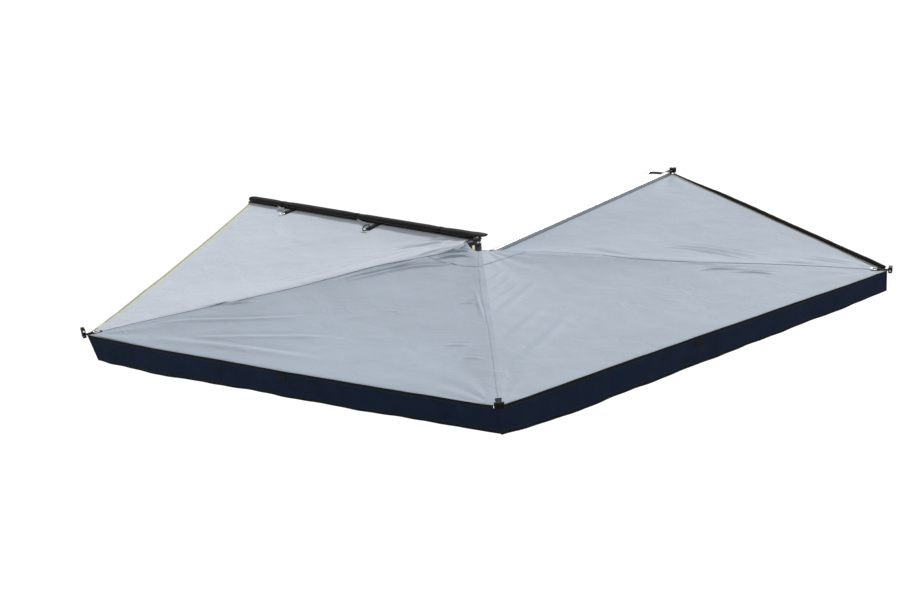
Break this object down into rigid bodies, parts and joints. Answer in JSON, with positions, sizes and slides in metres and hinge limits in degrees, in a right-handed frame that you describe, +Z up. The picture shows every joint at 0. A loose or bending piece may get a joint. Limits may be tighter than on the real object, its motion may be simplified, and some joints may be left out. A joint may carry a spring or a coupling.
{
  "type": "vehicle side awning",
  "caption": "Vehicle side awning whose hinged arms swing from an upright bolt at the end of a roof rack rail and spread a canopy round the side and rear, with fold-out legs.",
  "frame": {"origin": "middle of the underside of the middle rack bracket's foot, between its two slots", "axes": "+X to the vehicle's right, across the roof; +Y forward along the rail; +Z up"},
  "size_m": [4.2802, 4.2515, 0.2412],
  "materials": {
    "rail_aluminium": "black powder coat, satin",
    "arm_aluminium": "bright anodised",
    "leg_aluminium": "satin anodised",
    "hub_casting": "dark grey coated casting",
    "zinc_steel": "yellow zinc plated",
    "bright_steel": "bright zinc or stainless",
    "bracket_steel": "black powder coat",
    "black_plastic": "glass-filled nylon, matt",
    "rubber": "matt",
    "canopy_cloth_light": "coated polyester and cotton, silver grey, lit",
    "canopy_cloth": "coated polyester and cotton, silver grey",
    "valance_cloth": "dark blue-black border cloth",
    "cover_vinyl": "black coated cover cloth",
    "webbing": "woven black webbing"
  },
  "bodies": {
    "root": {"rail": "rail_aluminium", "rail_end_cap": "black_plastic", "rack_bracket_front": "bracket_steel", "rack_bracket_middle": "bracket_steel", "rack_bracket_rear": "bracket_steel", "rack_bolt_front": "bright_steel", "rack_bolt_middle": "bright_steel", "rack_bolt_rear": "bright_steel", "hub_top_plate": "hub_casting", "hub_bottom_plate": "hub_casting", "hub_web": "hub_casting", "hub_spacer": "zinc_steel", "hub_back_plate": "zinc_steel", "hub_slot_bolt_1": "bright_steel", "hub_slot_bolt_2": "bright_steel", "pivot_bolt": "bright_steel", "pivot_nut": "bright_steel", "travel_cover": "cover_vinyl", "canopy_panel_front": "canopy_cloth_light"},
    "arm_1": {"arm_1_knuckle": "hub_casting", "arm_1_channel": "arm_aluminium", "arm_1_tip": "black_plastic", "arm_1_corner_plate": "black_plastic", "leg_1_pin": "bright_steel"},
    "arm_2": {"arm_2_knuckle": "hub_casting", "arm_2_channel": "arm_aluminium", "arm_2_tip": "black_plastic", "arm_2_corner_plate": "black_plastic", "leg_2_pin": "bright_steel", "canopy_panel_left": "canopy_cloth", "valance_left": "valance_cloth"},
    "arm_3": {"arm_3_knuckle": "hub_casting", "arm_3_channel": "arm_aluminium", "arm_3_tip": "black_plastic", "arm_3_corner_plate": "black_plastic", "leg_3_pin": "bright_steel", "canopy_panel_rear": "canopy_cloth", "valance_rear": "valance_cloth"},
    "arm_4": {"arm_4_knuckle": "hub_casting", "arm_4_channel": "arm_aluminium", "arm_4_tip": "black_plastic", "canopy_panel_right": "canopy_cloth", "tie_strap": "webbing", "tie_hook": "bright_steel"},
    "leg_1": {"leg_1_outer": "leg_aluminium", "leg_1_collar": "black_plastic"},
    "leg_inner_1": {"leg_1_inner": "leg_aluminium", "leg_1_foot": "rubber"},
    "lever_1": {"leg_1_lever": "black_plastic"},
    "leg_2": {"leg_2_outer": "leg_aluminium", "leg_2_collar": "black_plastic"},
    "leg_inner_2": {"leg_2_inner": "leg_aluminium", "leg_2_foot": "rubber"},
    "lever_2": {"leg_2_lever": "black_plastic"},
    "leg_3": {"leg_3_outer": "leg_aluminium", "leg_3_collar": "black_plastic"},
    "leg_inner_3": {"leg_3_inner": "leg_aluminium", "leg_3_foot": "rubber"},
    "lever_3": {"leg_3_lever": "black_plastic"}
  },
  "joints": [
    {"name": "arm_4_swing", "type": "hinge", "parent": "root", "child": "arm_4", "pos_m": [-0.0908, -1.1, 0.007], "axis": [0, 0, 1], "range_deg": [-274, 0], "deforming": ["canopy_panel_right"]},
    {"name": "arm_1_swing", "type": "hinge", "parent": "root", "child": "arm_1", "pos_m": [-0.0908, -1.1, 0.103], "axis": [0, 0, 1], "range_deg": [-69.5, 0], "deforming": ["canopy_panel_front"]},
    {"name": "arm_2_swing", "type": "hinge", "parent": "root", "child": "arm_2", "pos_m": [-0.0908, -1.1, 0.071], "axis": [0, 0, 1], "range_deg": [-134, 0], "deforming": ["canopy_panel_left", "valance_left"]},
    {"name": "arm_3_swing", "type": "hinge", "parent": "root", "child": "arm_3", "pos_m": [-0.0908, -1.1, 0.039], "axis": [0, 0, 1], "range_deg": [-199, 0], "deforming": ["canopy_panel_rear", "valance_rear"]},
    {"name": "leg_1_fold", "type": "hinge", "parent": "arm_1", "child": "leg_1", "pos_m": [-2.09044, -0.35236, 0.07677], "axis": [0.3502, 0.9367, 0], "range_deg": [0, 90.7]},
    {"name": "leg_1_slide", "type": "slide", "parent": "leg_1", "child": "leg_inner_1", "axis": [0.9366, -0.3502, 0.0118], "range_m": [0, 0.79]},
    {"name": "lever_1_open", "type": "hinge", "parent": "leg_1", "child": "lever_1", "pos_m": [-1.06283, -0.73657, 0.07563], "axis": [-0.3502, -0.9367, 0], "range_deg": [0, 100]},
    {"name": "leg_2_fold", "type": "hinge", "parent": "arm_2", "child": "leg_2", "pos_m": [-1.62647, -2.58298, 0.04477], "axis": [-0.6947, 0.7193, 0], "range_deg": [0, 90.7]},
    {"name": "leg_2_slide", "type": "slide", "parent": "leg_2", "child": "leg_inner_2", "axis": [0.7193, 0.6946, 0.0118], "range_m": [0, 0.79]},
    {"name": "lever_2_open", "type": "hinge", "parent": "leg_2", "child": "lever_2", "pos_m": [-0.83729, -1.82088, 0.04363], "axis": [0.6947, -0.7193, 0], "range_deg": [0, 100]},
    {"name": "leg_3_fold", "type": "hinge", "parent": "arm_3", "child": "leg_3", "pos_m": [0.60424, -3.11853, 0.01277], "axis": [-0.9455, -0.3256, 0], "range_deg": [0, 90.7]},
    {"name": "leg_3_slide", "type": "slide", "parent": "leg_3", "child": "leg_inner_3", "axis": [-0.3255, 0.9455, 0.0118], "range_m": [0, 0.79]},
    {"name": "lever_3_open", "type": "hinge", "parent": "leg_3", "child": "lever_3", "pos_m": [0.24706, -2.08121, 0.01163], "axis": [0.9455, 0.3256, 0], "range_deg": [0, 100]}
  ],
  "couplings": [
    {"joint": "arm_1_swing", "follows": "arm_4_swing", "ratio": 0.25364},
    {"joint": "arm_2_swing", "follows": "arm_4_swing", "ratio": 0.48905},
    {"joint": "arm_3_swing", "follows": "arm_4_swing", "ratio": 0.72627}
  ]
}
